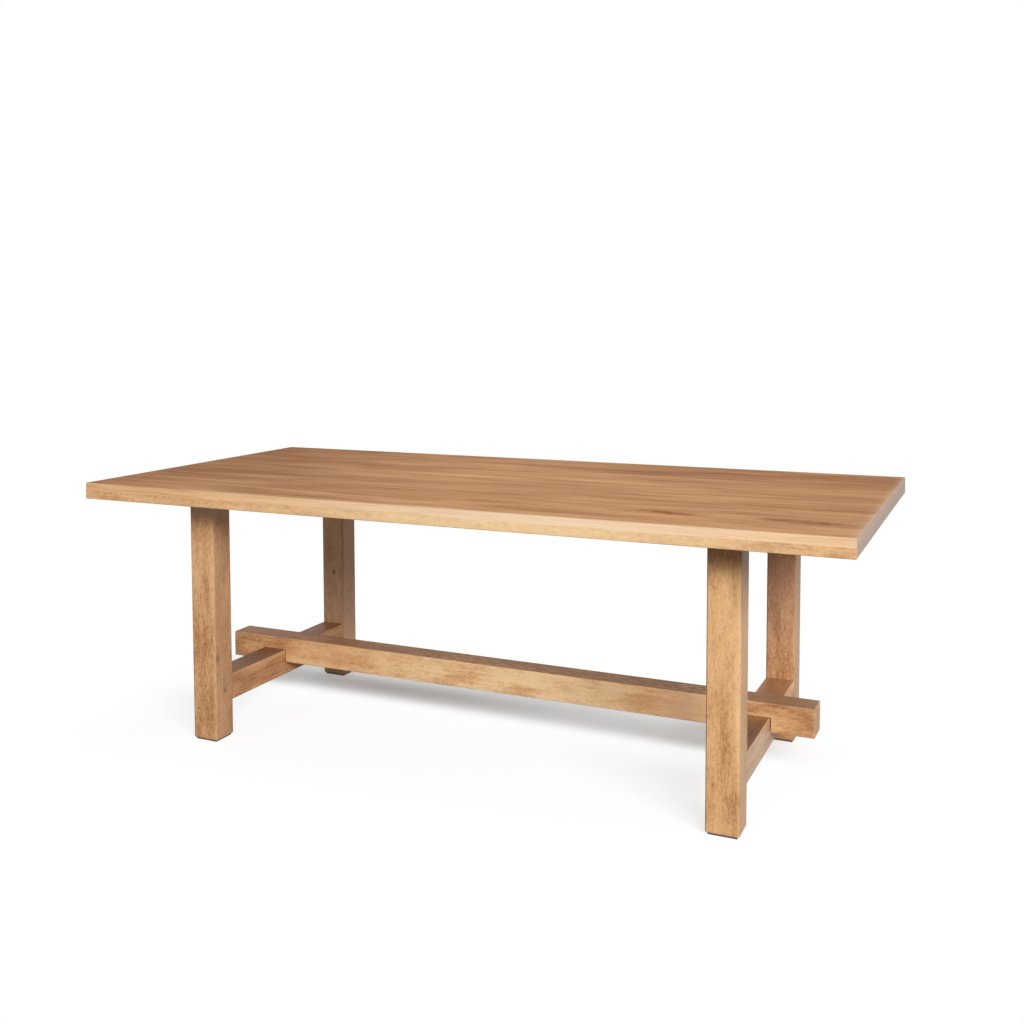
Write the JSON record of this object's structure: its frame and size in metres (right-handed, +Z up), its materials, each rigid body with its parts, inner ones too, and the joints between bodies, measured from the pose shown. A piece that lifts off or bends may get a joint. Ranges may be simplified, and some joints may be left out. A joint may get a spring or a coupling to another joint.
{
  "type": "dining table",
  "caption": "Rectangular solid-wood dining table: thick-edged plank top on square legs, with a cross stretcher at each end and a long stretcher notched over both.",
  "frame": {"origin": "on the floor, under the middle of the top", "axes": "+X along the length of the top, +Y from the front long side to the back long side, +Z up"},
  "size_m": [2.134, 1.067, 0.762],
  "materials": {
    "top_wood": "satin lacquer, warm honey brown",
    "lip_wood": "satin lacquer, pale honey",
    "leg_wood": "satin lacquer, golden honey with flecked figure",
    "stretcher_wood": "satin lacquer, golden brown",
    "batten_wood": "sealed, unpolished underside timber",
    "fastener_steel": "zinc plated",
    "glide_plastic": "dark brown moulded plastic"
  },
  "bodies": {
    "root": {"top_board_1": "top_wood", "top_board_2": "top_wood", "top_board_3": "top_wood", "top_board_4": "top_wood", "top_board_5": "top_wood", "top_board_6": "top_wood", "top_board_7": "top_wood", "top_board_8": "top_wood", "lip_front": "lip_wood", "lip_back": "lip_wood", "lip_right": "lip_wood", "lip_left": "lip_wood", "bearer_left": "batten_wood", "bearer_right": "batten_wood", "batten_middle": "batten_wood", "leg_front_left": "leg_wood", "leg_back_left": "leg_wood", "leg_front_right": "leg_wood", "leg_back_right": "leg_wood", "cross_stretcher_left": "stretcher_wood", "cross_stretcher_right": "stretcher_wood", "long_stretcher": "stretcher_wood", "foot_glide_front_left": "glide_plastic", "foot_glide_back_left": "glide_plastic", "foot_glide_front_right": "glide_plastic", "foot_glide_back_right": "glide_plastic", "bearer_screws": "fastener_steel", "batten_screws": "fastener_steel", "stretcher_bolts": "fastener_steel", "stretcher_washers": "fastener_steel", "stretcher_inserts": "fastener_steel"}
  },
  "joints": []
}
